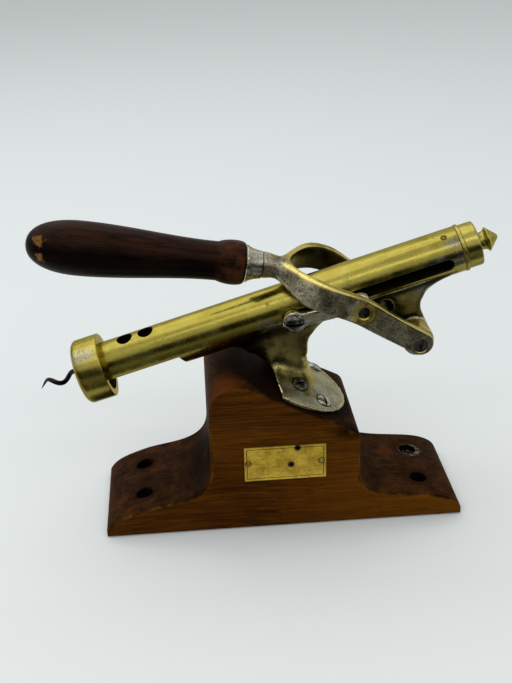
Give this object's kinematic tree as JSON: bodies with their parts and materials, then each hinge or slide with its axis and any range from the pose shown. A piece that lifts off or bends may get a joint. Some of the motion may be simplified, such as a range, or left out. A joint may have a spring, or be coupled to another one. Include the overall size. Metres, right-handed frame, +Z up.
{
  "type": "countertop corkscrew",
  "caption": "Bar corkscrew: a brass barrel on a wooden plinth, whose forked hand lever draws a worm and its crosshead back along the barrel to pull a cork.",
  "frame": {"origin": "middle of the plinth's underside", "axes": "+X from the bell towards the end cap, +Y from the front face to the back, +Z up"},
  "size_m": [0.3009, 0.086, 0.2091],
  "materials": {
    "mahogany": "worn satin varnish",
    "dark_wood": "dark polished varnish with a worn end",
    "brass": "aged brass with remains of nickel",
    "plate_brass": "bright rolled sheet, bare",
    "inner_brass": "turned, dull",
    "nickel": "pitted nickel plate on cast brass, worn through at the edges",
    "dark_steel": "darkened steel"
  },
  "bodies": {
    "frame": {"plinth": "mahogany", "name_plate": "plate_brass", "plate_pins": "dark_steel", "barrel_casting": "brass", "bell_mouth": "brass", "end_cap": "brass", "finial": "brass", "cap_pin": "dark_steel", "flange_screws": "dark_steel", "fulcrum_pin": "dark_steel", "quick_nut": "inner_brass", "nut_pin": "dark_steel", "stripper_ring": "inner_brass"},
    "lever": {"lever_fork": "nickel", "ferrule": "nickel", "handle": "dark_wood", "link_pins": "dark_steel"},
    "carriage": {"crosshead": "inner_brass", "slot_bushes": "nickel", "link_screws": "dark_steel"},
    "links": {"near_link": "nickel", "far_link": "nickel"},
    "worm": {"worm_spindle": "dark_steel", "worm": "dark_steel", "worm_screw": "dark_steel", "thrust_washer": "inner_brass", "spindle_nut": "dark_steel"}
  },
  "joints": [
    {"name": "lever_swing", "type": "hinge", "parent": "frame", "child": "lever", "pos_m": [0.08821, 0, 0.12619], "axis": [0, 1, 0], "range_deg": [0, 125]},
    {"name": "carriage_slide", "type": "slide", "parent": "frame", "child": "carriage", "axis": [0.9588, 0, 0.284], "range_m": [0, 0.08992]},
    {"name": "link_swing", "type": "hinge", "parent": "carriage", "child": "links", "pos_m": [0.00872, 0, 0.14207], "axis": [0, 1, 0], "range_deg": [0, 48.45]},
    {"name": "worm_spin", "type": "hinge", "parent": "carriage", "child": "worm", "pos_m": [0, 0, 0.1423], "axis": [0.9588, 0, 0.284], "range_deg": [0, 1849.68]}
  ],
  "couplings": [
    {"joint": "carriage_slide", "follows": "lever_swing", "m_per_rad": 0.041214},
    {"joint": "link_swing", "follows": "lever_swing", "ratio": 0.38763},
    {"joint": "worm_spin", "follows": "lever_swing", "ratio": 14.797}
  ]
}
